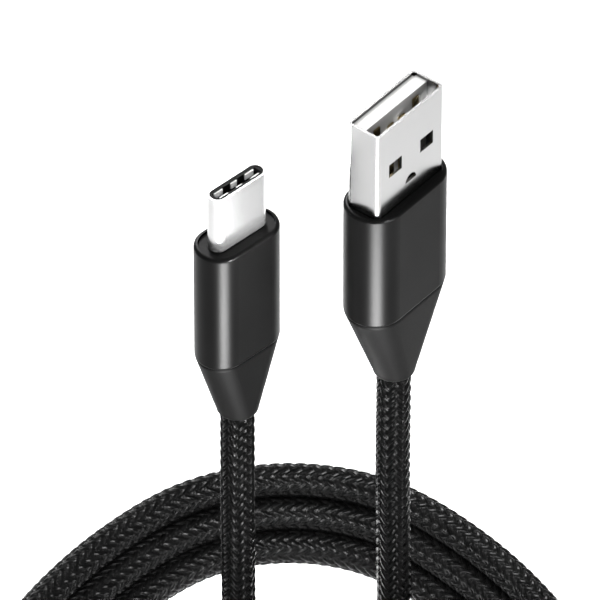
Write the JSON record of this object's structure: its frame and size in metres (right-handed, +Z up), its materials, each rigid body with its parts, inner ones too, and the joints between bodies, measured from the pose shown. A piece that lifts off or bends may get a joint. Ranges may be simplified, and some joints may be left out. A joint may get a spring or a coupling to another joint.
{
  "type": "charging cable",
  "caption": "Coiled braided charging cable with a type A plug and a type C plug, both in flat metal housings with tapered strain reliefs.",
  "frame": {"origin": "on the surface the coil lies on, under the middle of the coil's box", "axes": "+Z up, along both plugs out of their mouths; +Y along the long way of the egg-shaped coil, towards its pointed end and away from the viewer; +X to the right"},
  "size_m": [0.0814, 0.0866, 0.098],
  "materials": {
    "braid": "black nylon braid, glossy yarns",
    "shell_metal": "bright nickel plate",
    "white_plastic": "white moulded",
    "contact_gold": "gold plate",
    "black_plastic": "black moulded",
    "collar_plastic": "black moulded",
    "housing_metal": "black anodised, satin",
    "inner_plastic": "dark moulded",
    "relief_rubber": "soft matt black",
    "clamp_metal": "crimped steel",
    "wire_red": "insulation",
    "wire_white": "insulation",
    "wire_green": "insulation",
    "wire_black": "insulation",
    "solder": "solder",
    "circuit_board": "green solder mask",
    "chip_black": "chip resistor",
    "chip_tan": "chip capacitor"
  },
  "bodies": {
    "root": {"cable_coil": "braid", "type_a_lead": "braid", "type_c_lead": "braid", "type_a_shell": "shell_metal", "type_a_tongue": "white_plastic", "type_a_power_contact": "contact_gold", "type_a_data_minus_contact": "contact_gold", "type_a_data_plus_contact": "contact_gold", "type_a_ground_contact": "contact_gold", "type_a_rear_block": "black_plastic", "type_a_collar": "collar_plastic", "type_a_housing": "housing_metal", "type_a_inner_mould": "inner_plastic", "type_a_strain_relief": "relief_rubber", "type_a_cable_clamp": "clamp_metal", "type_a_red_wire": "wire_red", "type_a_white_wire": "wire_white", "type_a_green_wire": "wire_green", "type_a_black_wire": "wire_black", "type_a_solder_joints": "solder", "type_c_shell": "shell_metal", "type_c_mouth_lining": "black_plastic", "type_c_ground_springs": "shell_metal", "type_c_upper_contacts": "contact_gold", "type_c_lower_contacts": "contact_gold", "type_c_latch_springs": "shell_metal", "type_c_circuit_board": "circuit_board", "type_c_resistor": "chip_black", "type_c_capacitor": "chip_tan", "type_c_collar": "collar_plastic", "type_c_housing": "housing_metal", "type_c_inner_mould": "inner_plastic", "type_c_strain_relief": "relief_rubber", "type_c_cable_clamp": "clamp_metal", "type_c_red_wire": "wire_red", "type_c_white_wire": "wire_white", "type_c_green_wire": "wire_green", "type_c_black_wire": "wire_black", "type_c_solder_joints": "solder"}
  },
  "joints": []
}
